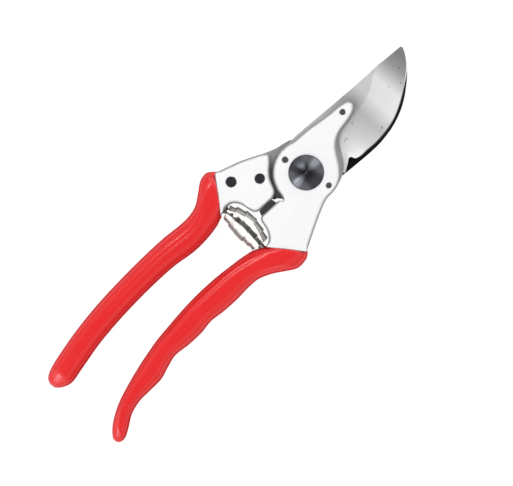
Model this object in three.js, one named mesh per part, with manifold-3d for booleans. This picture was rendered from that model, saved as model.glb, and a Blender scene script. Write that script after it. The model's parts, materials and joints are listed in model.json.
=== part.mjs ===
// Bypass pruner, closed, with its thumb catch off.
// Millimetres. The origin is on the pivot axis, at the flat end of the pivot bolt. +Y runs along the tool
// to the blade tip, +X to the hook's side, and +Z out of the bolt's domed head.
import * as THREE from 'three';
import { mergeVertices } from 'three/addons/utils/BufferGeometryUtils.js';
import Module from 'manifold-3d';

const wasm = await Module();
wasm.setup();

// ---------------------------------------------------------------- driving dimensions
// Heights are measured from the shear plane, where the blade slides on the hook.
const SHEAR_HEIGHT = 8;          // shear plane above the bolt's end
const SLIDE_GAP = 0.05;          // each side of the shear plane
const HOOK_THICK = 3.45;
const BLADE_THICK = 3;
const FRONT = 7.6;               // front face of both castings
const HEAD_BACK = 3.2;           // back of the blade handle's head, in front of the blade
const MID_BACK = -3.2;           // back of the blade handle behind its head
const NECK_BACK = -6.2;          // back of both necks, next to the grips
const MID_HEIGHT = (FRONT + NECK_BACK) / 2;
const HOOK_BACK = -SLIDE_GAP - HOOK_THICK;
const CORE_GAP = 0.3;            // handle core to grip, and neck to grip
const CORE_ROOT_INSET = 4;       // the core's root inside the neck is this much narrower than the grip
const LEFT_ROOT_SHIFT = [1.6, 1.8];  // from the grip's mouth into the neck
const RIGHT_ROOT_SHIFT = [-1.2, 2];

const BOLT_R = 4;
const BOLT_HEAD_R = 7.85;
const BOLT_HEAD_RISE = 2.4;
const BOLT_RIM = 0.35;           // upright rim under the bolt head's dome
const HOLE_GAP = 0.05;           // radial play of a pin or a bolt in its hole
const THROUGH = 9;               // half the depth of a cut that goes right through
const DISC_R = 14.85;            // round head of the blade handle
const POCKET_R = 16.6;           // behind this the blade handle clears the hook plate
const NECK_START_R = 30.5;       // the blade handle's neck is full thickness beyond this
const SKIRT_TOP = 7;             // the sloped side of the blade handle's head ends here

const GRIP_MID = 0.3;            // height of the grips' middle
const GRIP_SKIN = 1.1;           // vinyl thickness
const GRIP_POWER = 2.6;          // superellipse power of the grips' section
const GRIP_SIDES = 16;
const SOCKET_END = 0.93;         // the socket stops at this share of the handle's length

const HOOK_RIVETS = [[-22.39, -24.57, 2.2], [-13.77, -15.24, 2.1]];
const BLADE_PINS = [[-10.71, -1.72, 1.25], [11.24, 2.18, 1.1], [-5.16, 30.56, 1.15]];

const NUT_R = 7.2;
const NUT_TEETH = 18;
const NUT_TOOTH = 0.35;
const NUT_LOW = -7.6;
const WASHER_R = 6.4;
const WASHER_LOW = HOOK_BACK - 0.55;
const SEGMENT_ANGLE = 207;       // direction of the nut's lock segment from the pivot, degrees
const SEGMENT_SPAN = 45;         // degrees of the nut's rim that the segment's teeth cover
const SEGMENT_REACH = 12.4;      // pivot to segment screw
const SEGMENT_SCREW_R = 1.5;
const SEGMENT_LOW = HOOK_BACK - 1.75;
const SEGMENT_HEAD_R = 2.6;
const SEGMENT_HEAD_LOW = -6.5;
const SEGMENT_SCREW_END = -0.3;
const SLOT_WIDTH = 0.8;          // slot across a screw's head
const SLOT_DEPTH = 0.45;
const SLOT_ANGLE = 35;

const CATCH_AT = [-10.5, -24.8]; // screw of the thumb catch
const CATCH_SCREW_R = 2;
const CATCH_SCREW_END = 3.6;
const CATCH_HEAD_R = 3.2;
const CATCH_HEAD_LOW = -7.6;
const CATCH_PIN_AT = [3, -23.5];
const CATCH_PIN_R = 1.6;
const CATCH_PIN_END = -1;
const CATCH_SWING = 30;          // degrees from locked to free
const CATCH_BACK = -6.2;
const CATCH_FRONT = -3.95;
const THUMB_PAD_AT = [-5.8, 6.9]; // in the catch's own frame
const THUMB_PAD_R = 3.3;
const THUMB_RIB_STEP = 1.8;

const BUMPER_Y = -22.9;
const BUMPER_HEIGHT = 2.6;
const BUMPER_STEM_R = 1.4;       // stem pressed into the blade handle
const BUMPER_STEM_LENGTH = 5;

const EDGE_THICK = 0.15;         // blade thickness at its cutting edge
const MICRO_WIDTH = 0.45;        // width of the fine bevel along the edge
const MICRO_THICK = 0.5;
const HOLLOW = 1.5;              // power of the hollow grinding's curve
const GRIND_STEPS = 48;
const GRIND_SHARES = [0, 0.1, 0.22, 0.36, 0.5, 0.64, 0.78, 0.9, 1];

const SPRING_FROM = [-15.7, -35.55];
const SPRING_TO = [5.4, -37.3];
const SPRING_TURN = [6.5, -17.3];  // the spring axis's direction at each end, degrees
const SPRING_END_R = [2.8, 3.8];   // at the left end and at the right end
const SPRING_MID_R = 5.75;
const SPRING_TURNS = 5;
const DEAD_TURNS = 0.5;          // flat part of a turn at each end
const SPRING_BULGE = [1.3, 1];   // power of the barrel's outline on each side of its middle
const STRIP_WIDTH = 5.2;
const STRIP_THICK = 0.5;
const STRIP_TILT = [0.14, 0.04]; // how far the strip leans in for each millimetre towards each end
const STRIP_STEPS = 24;          // rings in each turn
const SEAT_R = 1.5;              // seat bosses inside the spring's ends
const SEAT_LENGTH = 5.8;
const LEFT_SEAT_AT = [-19, -35.9];
const RIGHT_SEAT_AT = [9.6, -38.6];

const DEG = Math.PI / 180;

// ---------------------------------------------------------------- helpers
const vec2 = ([x, y]) => new THREE.Vector2(x, y);

// Joins stretches of points into one outline. A stretch of three or more points is a smooth curve.
function outline(...stretches) {
  const points = [];
  for (const stretch of stretches) {
    const corners = stretch.map(vec2);
    const run = corners.length > 2
      ? new THREE.SplineCurve(corners).getPoints(2 * (corners.length - 1)) : corners;
    for (const point of run) {
      if (!points.length || points.at(-1).distanceTo(point) > 0.05) points.push(point);
    }
  }
  if (points[0].distanceTo(points.at(-1)) < 0.05) points.pop();
  return points;
}

// Evenly spaced numbers, both ends included.
function shares(from, to, steps) {
  return Array.from({ length: steps + 1 }, (_, i) => from + (to - from) * i / steps);
}

function arc([cx, cy], radius, from, to, steps) {
  return Array.from({ length: steps + 1 }, (_, i) => {
    const angle = (from + (to - from) * i / steps) * DEG;
    return [cx + radius * Math.cos(angle), cy + radius * Math.sin(angle)];
  });
}

function solid(geometry) {
  const bare = geometry.clone();
  bare.deleteAttribute('normal');
  bare.deleteAttribute('uv');
  const merged = mergeVertices(bare, 1e-5);
  const corners = [];
  for (let i = 0; i < merged.index.count; i += 3) {
    const [a, b, c] = merged.index.array.slice(i, i + 3);
    if (a !== b && b !== c && c !== a) corners.push(a, b, c);
  }
  return new wasm.Manifold(new wasm.Mesh({
    numProp: 3,
    vertProperties: new Float32Array(merged.attributes.position.array),
    triVerts: new Uint32Array(corners),
  }));
}

function geometryOf(body) {
  const mesh = body.getMesh();
  const geometry = new THREE.BufferGeometry();
  geometry.setAttribute('position', new THREE.Float32BufferAttribute(mesh.vertProperties, 3));
  geometry.setIndex(Array.from(mesh.triVerts));
  geometry.computeVertexNormals();
  return geometry;
}

// A flat piece of the given outline between two heights.
function plate(points, low, high) {
  const shape = new THREE.Shape(points);
  const geometry = new THREE.ExtrudeGeometry(shape, { depth: high - low, bevelEnabled: false });
  return solid(geometry.translate(0, 0, low));
}

function disc([x, y], radius, low, high, sides = 32) {
  const geometry = new THREE.CylinderGeometry(radius, radius, high - low, sides);
  return solid(geometry.rotateX(Math.PI / 2).translate(x, y, (low + high) / 2));
}

// A hole through everything for a pin or a screw of the given radius.
const hole = (at, radius) => disc(at, radius + HOLE_GAP, -THROUGH, THROUGH);

function block([x0, y0, z0], [x1, y1, z1]) {
  const geometry = new THREE.BoxGeometry(x1 - x0, y1 - y0, z1 - z0);
  return solid(geometry.translate((x0 + x1) / 2, (y0 + y1) / 2, (z0 + z1) / 2));
}

// A solid between two outlines with the same number of points, one at each height.
function drafted(foot, top, low, high) {
  const count = foot.length;
  const rings = [foot.map(({ x, y }) => [x, y, low]), top.map(({ x, y }) => [x, y, high])];
  const index = [];
  for (const [a, b, c] of THREE.ShapeUtils.triangulateShape(foot, [])) {
    index.push(a, c, b, count + a, count + b, count + c);
  }
  for (let k = 0; k < count; k += 1) {
    const next = (k + 1) % count;
    index.push(k, next, count + next, k, count + next, count + k);
  }
  const geometry = new THREE.BufferGeometry();
  geometry.setAttribute('position', new THREE.Float32BufferAttribute(rings.flat(2), 3));
  geometry.setIndex(index);
  return solid(geometry);
}

// A round bar from a point in the plan, along a direction in the plan, at the middle height.
function bar([x, y], angle, length, radius, height) {
  const geometry = new THREE.CylinderGeometry(radius, radius, length, 20);
  geometry.rotateZ(-Math.PI / 2).translate(length / 2, 0, 0).rotateZ(angle * DEG);
  return solid(geometry.translate(x, y, height));
}

// A round piece turned about the pivot's direction. The profile is [radius, height] pairs.
function turned(profile, [x, y], sides = 36) {
  const geometry = new THREE.LatheGeometry(profile.map(vec2), sides);
  return solid(geometry.rotateX(Math.PI / 2).translate(x, y, 0));
}

// A closed skin over rings of points, with a flat cap on the first ring and on the last one.
function loft(rings) {
  const count = rings[0].length;
  const positions = rings.flat().flatMap((point) => [point.x, point.y, point.z]);
  const index = [];
  for (let r = 0; r < rings.length - 1; r += 1) {
    for (let k = 0; k < count; k += 1) {
      const a = r * count + k;
      const b = r * count + (k + 1) % count;
      index.push(a, b, a + count, b, b + count, a + count);
    }
  }
  const last = (rings.length - 1) * count;
  for (let k = 1; k < count - 1; k += 1) {
    index.push(0, k + 1, k, last, last + k, last + k + 1);
  }
  const geometry = new THREE.BufferGeometry();
  geometry.setAttribute('position', new THREE.Float32BufferAttribute(positions, 3));
  geometry.setIndex(index);
  return geometry;
}

// ---------------------------------------------------------------- materials
const finish = (color, roughness, metalness) => ({ color, roughness, metalness });
const ALUMINIUM = finish(0xe4e5ea, 0.42, 0.6);
const VINYL = finish(0xe8262b, 0.28, 0);
const BLADE_STEEL = finish(0xc4c5c8, 0.3, 0.9);
const HOOK_STEEL = finish(0x4b4c50, 0.42, 0.8);
const DARK_STEEL = finish(0x2c2f36, 0.32, 0.9);
const NICKEL = finish(0xd6d0c4, 0.2, 1);
const RUBBER = finish(0x1b1b1e, 0.8, 0);

const pruner = new THREE.Group();
pruner.position.z = SHEAR_HEIGHT;

function add(name, body, look) {
  const geometry = body instanceof THREE.BufferGeometry ? body : geometryOf(body);
  const mesh = new THREE.Mesh(geometry, new THREE.MeshStandardMaterial(look));
  mesh.name = name;
  pruner.add(mesh);
}

// ---------------------------------------------------------------- grips and handle cores
// Each row is a cross-section: its far edge, its edge facing the other handle, and half its height.
const LEFT_HANDLE = [
  [[-31.3, -26.2], [-15.6, -39.9], 8.0], [[-33.5, -28.6], [-14.9, -42.2], 8.3],
  [[-33.2, -33.0], [-14.5, -45.0], 8.3], [[-30.2, -38.2], [-14.3, -48.8], 8.3],
  [[-27.6, -43.2], [-14.4, -52.8], 8.3], [[-26.9, -49.0], [-14.8, -57.2], 8.3],
  [[-27.6, -54.8], [-15.7, -61.8], 8.3], [[-29.2, -63.2], [-17.4, -68.6], 8.3],
  [[-30.6, -75.0], [-18.8, -78.4], 8.3], [[-31.7, -89.0], [-19.9, -90.6], 8.3],
  [[-32.3, -104.0], [-20.5, -104.5], 8.3], [[-32.0, -117.5], [-20.3, -117.5], 8.2],
  [[-30.9, -130.0], [-19.1, -130.0], 7.9], [[-29.6, -138.6], [-18.5, -137.6], 7.2],
  [[-27.9, -142.8], [-20.4, -142.0], 5.2], [[-25.6, -144.3], [-22.6, -144.1], 2.2],
];
const RIGHT_HANDLE = [
  [[23.6, -26.3], [7.2, -37.3], 8.0], [[24.9, -29.0], [5.6, -39.3], 8.3],
  [[24.6, -34.2], [4.2, -42.0], 8.3], [[21.2, -39.0], [3.1, -45.6], 8.3],
  [[17.6, -43.6], [2.1, -49.6], 8.3], [[14.6, -49.2], [1.1, -54.4], 8.3],
  [[13.6, -55.0], [0.2, -58.6], 8.3], [[13.2, -62.0], [-0.7, -64.2], 8.3],
  [[12.2, -69.6], [-1.5, -70.6], 8.3], [[10.7, -77.0], [-2.0, -77.4], 8.3],
  [[10.8, -84.0], [-2.2, -84.2], 8.3], [[9.9, -91.5], [-2.2, -91.6], 8.2],
  [[8.5, -98.8], [-2.1, -99.0], 8.0], [[9.4, -105.0], [-1.5, -105.4], 8.0],
  [[10.6, -111.0], [-0.8, -111.4], 8.0], [[10.1, -118.0], [0.3, -118.2], 7.8],
  [[9.6, -124.2], [1.5, -124.4], 7.4], [[10.7, -131.0], [3.3, -131.4], 7.0],
  [[13.6, -136.8], [5.9, -137.6], 6.6], [[15.3, -141.0], [8.4, -141.6], 5.8],
  [[14.9, -143.6], [11.0, -144.3], 3.6], [[13.6, -144.7], [12.4, -144.8], 1.4],
];

// One ring of a handle at a share t of its length, inset all round.
function handleRing(rows, t, inset, side) {
  const far = new THREE.SplineCurve(rows.map((row) => vec2(row[0]))).getPoint(t);
  const near = new THREE.SplineCurve(rows.map((row) => vec2(row[1]))).getPoint(t);
  const heights = rows.map((row, i) => new THREE.Vector2(i, row[2]));
  const half = new THREE.SplineCurve(heights).getPoint(t).y - inset;
  const middle = far.clone().add(near).divideScalar(2);
  const reach = far.clone().sub(near).divideScalar(2);
  reach.multiplyScalar(1 - inset / reach.length());
  return Array.from({ length: GRIP_SIDES }, (_, k) => {
    const angle = side * 2 * Math.PI * k / GRIP_SIDES;
    const across = Math.sign(Math.cos(angle)) * Math.abs(Math.cos(angle)) ** (2 / GRIP_POWER);
    const up = Math.sign(Math.sin(angle)) * Math.abs(Math.sin(angle)) ** (2 / GRIP_POWER);
    return new THREE.Vector3(
      middle.x + across * reach.x, middle.y + across * reach.y, GRIP_MID + up * half);
  });
}

const socketShares = (rows) => shares(0, SOCKET_END, rows.length + 3);

// side is 1 where the far edge is at -X, and -1 where it is at +X, so that the rings turn the same way.
function gripSkin(rows, side) {
  const outside = shares(1, 0, rows.length + 6).map((t) => handleRing(rows, t, 0, side));
  const inside = socketShares(rows).map((t) => handleRing(rows, t, GRIP_SKIN, side));
  return loft([...outside, ...inside]);
}

// The core starts inside the neck, narrower than the socket's mouth.
function handleCore(rows, side, [dx, dy]) {
  const inset = GRIP_SKIN + CORE_GAP;
  const root = handleRing(rows, 0, CORE_ROOT_INSET, side)
    .map((point) => point.add(new THREE.Vector3(dx, dy, 0)));
  const rings = socketShares(rows).slice(0, -1).map((t) => handleRing(rows, t, inset, side));
  return solid(loft([...rings.reverse(), root]));
}

// ---------------------------------------------------------------- hook (counter-blade)
const NECK_SIDE = [[-29.0, -22.6], [-27.0, -26.0], [-22.8, -28.3], [-18.8, -27.4], [-16.2, -29.0]];
const HOOK_OUTLINE = outline(
  [[12.8, -3], [12.2, 1.5], [11.6, 4.5], [12.8, 8.6], [14, 14.6], [15, 20.6], [15.9, 26.2], [16.4, 31.8],
    [16.1, 39.1], [14.9, 45.3], [13, 50.7], [10.2, 56], [6.4, 61.6], [4, 64.3], [1.6, 66.6]],
  [[1.6, 66.6], [0.6, 66.9], [0.2, 66]],
  [[0.2, 66], [3.6, 61.4], [6.4, 56.4], [8.4, 51], [9.6, 45], [9.9, 38.5], [9.5, 32], [8.4, 25.5],
    [6.6, 19.5], [3.5, 15.5], [-0.5, 13.6], [-6, 12.6], [-11, 10], [-14.9, 6.5]],
  [[-14.9, 6.5], [-16.2, 2.9], [-17.2, -0.4], [-19.6, -5]],
  [[-19.6, -5], [-25.2, -15.4]],
  NECK_SIDE,
  [[-13.4, -28.8], [-10.8, -28.3], [-8, -28.1], [-6, -27.2], [-5.2, -26.2]],
  [[-4.4, -18.3], [-3.2, -18.1]],
  [[-3.2, -18.1], [-2.6, -17.2], [-2, -15.3]],
  [[-2, -15.3], [3.5, -14.9], [8.5, -12.4], [11.8, -8], [12.8, -3]],
);

function hook() {
  let body = plate(HOOK_OUTLINE, HOOK_BACK, -SLIDE_GAP).subtract(hole([0, 0], BOLT_R));
  for (const [x, y, radius] of HOOK_RIVETS) body = body.subtract(hole([x, y], radius));
  body = body.subtract(hole(CATCH_AT, CATCH_SCREW_R));
  return body.subtract(hole(segmentScrewAt(), SEGMENT_SCREW_R));
}

// ---------------------------------------------------------------- left casting (hook handle)
function leftCasting() {
  const face = outline(
    [[-30.4, -26.3], [-25.6, -15.4], [-20.6, -7]],
    [[-20.6, -7], [-19.1, -5.1], [-17.7, -4.5], [-16.6, -5]],
    [[-16.6, -5], [-14.6, -7.3], [-12.7, -10], [-10, -12.5], [-6.7, -14.1], [-5, -15.1], [-4, -17.1],
      [-3.8, -18.4]],
    [[-3.8, -18.4], [-4.8, -26.3]],
    [[-4.8, -26.3], [-5.7, -27.9], [-8, -28.6], [-11, -28.8], [-13.4, -29.4], [-15.6, -30.8],
      [-16.7, -32.6], [-16.9, -35.2], [-16.5, -37.9], [-15.9, -39.2]],
  );
  const plateSide = NECK_SIDE.map(([x, y]) => [x - 0.1, y - 0.35]);
  const pocket = outline(
    [[-34, -21], plateSide[0]], plateSide, [plateSide.at(-1), [-14.6, -31.5], [0, -31.5]],
    [[0, 5], [-34, 5]],
  );
  let body = plate(face, NECK_BACK, FRONT);
  body = body.subtract(plate(pocket, -THROUGH, 2 * SLIDE_GAP));
  body = body.add(handleCore(LEFT_HANDLE, 1, LEFT_ROOT_SHIFT));
  body = body.add(bar(LEFT_SEAT_AT, SPRING_TURN[0], SEAT_LENGTH, SEAT_R, MID_HEIGHT));
  for (const [x, y, radius] of HOOK_RIVETS) body = body.subtract(hole([x, y], radius));
  return body.subtract(disc(CATCH_AT, CATCH_SCREW_R + HOLE_GAP, -THROUGH, CATCH_SCREW_END + 0.4));
}

// ---------------------------------------------------------------- right casting (blade handle)
// The sloped side of the head, from the disc up to the finger's tip: its foot on the blade and its top.
const SKIRT = [
  [[14.6, 4], [14.4, 4]], [[13.8, 8.2], [13.2, 7.3]], [[12.6, 11.4], [11.4, 9.6]],
  [[10.2, 14.6], [8.7, 12.1]], [[6.8, 17.2], [4.9, 14.8]], [[3.4, 19.6], [1.9, 17.6]],
  [[1, 22], [0.1, 20.8]], [[-0.2, 25], [-0.6, 24.2]], [[0.1, 28.7], [-0.9, 28.5]],
  [[-0.3, 32], [-1.2, 32]], [[-2, 35.2], [-2.4, 35.2]],
];
const SKIRT_INSIDE = [[-4, 34], [-4, 20], [6, 4]];

function rightCasting() {
  const face = outline(
    [[-7.5, 34.6], [-6.6, 36], [-4.6, 36.9], [-2.6, 35.7], [-1.5, 33.2]],
    [[-1.5, 33.2], [-0.8, 28.5], [-0.5, 24.2], [0.2, 20.8], [1.9, 17.6], [4.9, 14.8], [8.7, 12.1],
      [11.4, 9.6], [13.2, 7.3], [14.4, 4], [14.6, 0.8], [14.3, -2.7], [15.4, -7], [17.5, -12.9],
      [19.9, -19.1], [22.8, -26.3]],
    [[22.8, -26.3], [7.9, -36.4]],
    [[7.9, -36.4], [7.2, -33.9], [5.7, -32], [3.4, -30.4], [0.8, -29.5], [-1.8, -28.8], [-2.7, -27.7]],
    [[-2.7, -27.7], [-1.5, -18]],
    [[-1.5, -18], [-0.6, -16.6], [0.3, -16.4], [0.4, -15.5], [-0.5, -14.85]],
    arc([0, 0], DISC_R, 265, 154, 22),
    [[-13.1, 7.2], [-12.2, 13.7], [-10.8, 19.9], [-9.3, 25.9], [-8.4, 31.3], [-7.5, 34.6]],
  );
  const ahead = block([-40, -2, -THROUGH], [40, 60, HEAD_BACK]);
  const behind = block([-40, -60, NECK_BACK], [40, 0, 0]);
  let body = plate(face, MID_BACK, FRONT);
  body = body.subtract(disc([0, 0], POCKET_R, -THROUGH, HEAD_BACK, 64)).subtract(ahead);
  const neckZone = behind.subtract(disc([0, 0], NECK_START_R, -THROUGH, THROUGH, 64));
  body = body.add(plate(face, NECK_BACK, 1).intersect(neckZone));
  const [foot, top] = [0, 1].map((end) => outline(SKIRT.map((row) => row[end])));
  const inside = SKIRT_INSIDE.map(vec2);
  body = body.add(drafted([...foot, ...inside], [...top, ...inside], HEAD_BACK, SKIRT_TOP));
  body = body.add(handleCore(RIGHT_HANDLE, -1, RIGHT_ROOT_SHIFT));
  body = body.add(bar(RIGHT_SEAT_AT, 180 + SPRING_TURN[1], SEAT_LENGTH, SEAT_R, MID_HEIGHT));
  body = body.subtract(hole([0, 0], BOLT_R));
  for (const [x, y, radius] of BLADE_PINS) body = body.subtract(hole([x, y], radius));
  body = body.subtract(disc(CATCH_PIN_AT, CATCH_PIN_R + HOLE_GAP, -THROUGH, CATCH_PIN_END + 0.3));
  return body.subtract(bar([-4, BUMPER_Y], 0, BUMPER_STEM_LENGTH + 1.3, BUMPER_STEM_R + HOLE_GAP,
    BUMPER_HEIGHT));
}

function rightGrip() {
  const seatHole = bar(RIGHT_SEAT_AT, 180 + SPRING_TURN[1], 8, SEAT_R + 0.4, MID_HEIGHT);
  return solid(gripSkin(RIGHT_HANDLE, -1)).subtract(seatHole);
}

// ---------------------------------------------------------------- bumper between the castings
function bumper() {
  const pad = outline([[-3.65, -18.8], [-4.55, -26.1]], [[-2.85, -27.2], [-1.75, -18.5]]);
  return plate(pad, -2.6, 7).add(bar([-3, BUMPER_Y], 0, BUMPER_STEM_LENGTH, BUMPER_STEM_R,
    BUMPER_HEIGHT));
}

// ---------------------------------------------------------------- blade
// Each row is a cross-section of the ground side: the cutting edge, the line where the grinding starts,
// the thickness on that line, and how far the grinding goes down to the edge (1 is fully sharp).
const GRIND = [
  [[13.2, 11.2], [12.2, 10.8], 3, 0.02], [[11.2, 15.4], [9.4, 14.2], 3, 0.06],
  [[10.2, 17.2], [6.2, 16.2], 3, 0.13], [[10.8, 18.5], [3.6, 17.9], 3, 0.22],
  [[12.4, 19.1], [2, 19.2], 3, 0.32], [[13.5, 21.6], [0.9, 21.6], 3, 0.55],
  [[14, 25.1], [-0.1, 25.6], 3, 0.82], [[14.8, 29.1], [-0.7, 30.4], 3, 1],
  [[15.1, 33.6], [-1, 35.5], 3, 1], [[14.9, 39], [-1.2, 41], 3, 1],
  [[14.1, 44.1], [-2.6, 46.2], 3, 1], [[12.2, 49.6], [-5, 50.6], 3, 1],
  [[9.9, 54.6], [-6.95, 55], 2.7, 1], [[7.1, 59.4], [-6.15, 60], 2.2, 1],
  [[4, 64.3], [-5.35, 64.9], 1.7, 1], [[0.6, 67.7], [-4.8, 68.2], 1.2, 1],
  [[-2.9, 70.2], [-4.5, 69.9], 0.8, 1],
];
function groundSide() {
  const along = (pick) => new THREE.SplineCurve(GRIND.map(pick));
  const edge = along((row) => vec2(row[0]));
  const start = along((row) => vec2(row[1]));
  const sizes = along((row) => new THREE.Vector2(row[2], row[3]));
  const low = SLIDE_GAP;
  return solid(loft(shares(0, 1, GRIND_STEPS).map((t) => {
    const e = edge.getPoint(t);
    const s = start.getPoint(t);
    const { x: thick, y: depth } = sizes.getPoint(t);
    const at = (share, height) => {
      const p = s.clone().lerp(e, share);
      return new THREE.Vector3(p.x, p.y, height);
    };
    const ground = (share) => {
      const hollow = MICRO_THICK + (thick - MICRO_THICK) * (1 - share) ** HOLLOW;
      return low + thick + (hollow - thick) * Math.min(1, depth);
    };
    const edgeTop = low + thick + (EDGE_THICK - thick) * Math.min(1, depth);
    const bevelStart = 1 - MICRO_WIDTH / Math.max(e.distanceTo(s), 2 * MICRO_WIDTH);
    const skin = GRIND_SHARES.map((share) => at(share * bevelStart, ground(share)));
    return [at(0, low), at(1, low), at(1, edgeTop), ...skin.reverse()];
  }).reverse()));
}

function blade() {
  const flat = outline(
    arc([0, 0], 13.4, 30, -180, 36),
    [[-13.9, 3], [-14.2, 7], [-13.3, 14], [-12, 21.8], [-10.3, 32], [-9, 40.2], [-7.7, 49], [-6.95, 55]],
    [[-6.95, 55], [-6, 52.6], [-4.7, 50.6], [-2.3, 46.2], [-0.9, 41], [-0.7, 35.5], [-0.4, 30.4],
      [0.1, 25.6], [1.1, 21.6], [2.2, 19.3]],
    [[2.2, 19.3], [3.8, 18], [6.4, 16.3], [9.6, 14.3], [12.4, 10.8]],
  );
  let body = plate(flat, SLIDE_GAP, SLIDE_GAP + BLADE_THICK).add(groundSide());
  body = body.subtract(hole([0, 0], BOLT_R));
  for (const [x, y, radius] of BLADE_PINS) body = body.subtract(hole([x, y], radius));
  return body;
}

// ---------------------------------------------------------------- pivot bolt, washer, nut and lock segment
function pivotBolt() {
  const rimTop = FRONT + BOLT_RIM;
  const crown = shares(1, 0, 8).map((t) => [BOLT_HEAD_R * t, rimTop + BOLT_HEAD_RISE * (1 - t * t)]);
  return turned([
    [0, -SHEAR_HEIGHT], [BOLT_R - 0.6, -SHEAR_HEIGHT], [BOLT_R, -SHEAR_HEIGHT + 0.6],
    [BOLT_R, FRONT + HOLE_GAP], [BOLT_HEAD_R, FRONT + HOLE_GAP], ...crown,
  ], [0, 0]);
}

// Distance from the pivot to the nut's toothed rim, in a direction in degrees.
const nutRim = (angle) => NUT_R + NUT_TOOTH * Math.cos(NUT_TEETH * angle * DEG);

function pivotNut() {
  const steps = NUT_TEETH * 4;
  const rim = shares(0, 360, steps).slice(0, -1).map((a) => arc([0, 0], nutRim(a), a, a, 1)[0]);
  const body = plate(rim.map(vec2), NUT_LOW, WASHER_LOW - HOLE_GAP);
  return body.subtract(hole([0, 0], BOLT_R));
}

function ring(at, inner, outer, low, high) {
  return disc(at, outer, low, high).subtract(disc(at, inner, low - 1, high + 1));
}

function segmentScrewAt() {
  return arc([0, 0], SEGMENT_REACH, SEGMENT_ANGLE, SEGMENT_ANGLE, 1)[0];
}

function lockSegment() {
  const teeth = shares(SEGMENT_ANGLE - SEGMENT_SPAN / 2, SEGMENT_ANGLE + SEGMENT_SPAN / 2, 18)
    .map((a) => arc([0, 0], nutRim(a) + 0.25, a, a, 1)[0]);
  const back = arc(segmentScrewAt(), 3.8, SEGMENT_ANGLE + 95, SEGMENT_ANGLE - 95, 16);
  const body = plate([...teeth, ...back].map(vec2), SEGMENT_LOW, HOOK_BACK - HOLE_GAP);
  return body.subtract(hole(segmentScrewAt(), SEGMENT_SCREW_R));
}

// A screw that points to +Z: its head, its shank and the slot across its head.
function slottedScrew(at, headR, headLow, headHigh, shankR, shankEnd) {
  const body = disc(at, headR, headLow, headHigh).add(disc(at, shankR, headLow + SLOT_DEPTH, shankEnd));
  const slot = new THREE.BoxGeometry(3 * headR, SLOT_WIDTH, 2 * SLOT_DEPTH);
  slot.rotateZ(SLOT_ANGLE * DEG).translate(at[0], at[1], headLow);
  return body.subtract(solid(slot));
}

// ---------------------------------------------------------------- thumb catch
// Drawn in its own frame, with its screw at the origin and the catch pin on +x when it is locked.
function thumbCatch() {
  const [cx, cy] = CATCH_AT;
  const reach = Math.hypot(CATCH_PIN_AT[0] - cx, CATCH_PIN_AT[1] - cy);
  const locked = Math.atan2(CATCH_PIN_AT[1] - cy, CATCH_PIN_AT[0] - cx) / DEG;
  const clear = CATCH_PIN_R + 0.3;
  const arm = outline(
    arc([0, 0], 3.6, 200, 325, 8),
    [[6.5, 0.4], [9.6, clear], [reach + clear, clear]],
    [[reach + clear, clear], [reach + clear, -1.3]],
    [[reach + clear, -1.3], [reach + clear + 1.2, -2], [reach + clear + 2.4, -0.8],
      [reach + clear + 2.5, 2.4], [reach + clear + 0.6, 5], [8.5, 4.8], [3.2, 4.2]],
    arc(THUMB_PAD_AT, THUMB_PAD_R + 0.3, 60, 215, 10),
  );
  let body = plate(arm, CATCH_BACK, CATCH_FRONT);
  body = body.add(disc(THUMB_PAD_AT, THUMB_PAD_R, CATCH_BACK - 0.6, CATCH_BACK + 0.5));
  for (const step of [-THUMB_RIB_STEP, 0, THUMB_RIB_STEP]) {
    const rib = new THREE.BoxGeometry(0.8, 4.2, 1.6);
    rib.translate(THUMB_PAD_AT[0] + step, THUMB_PAD_AT[1], CATCH_BACK - 0.6);
    body = body.add(solid(rib));
  }
  body = body.subtract(hole([0, 0], CATCH_SCREW_R));
  return geometryOf(body).rotateZ((locked + CATCH_SWING) * DEG).translate(cx, cy, 0);
}

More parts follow.
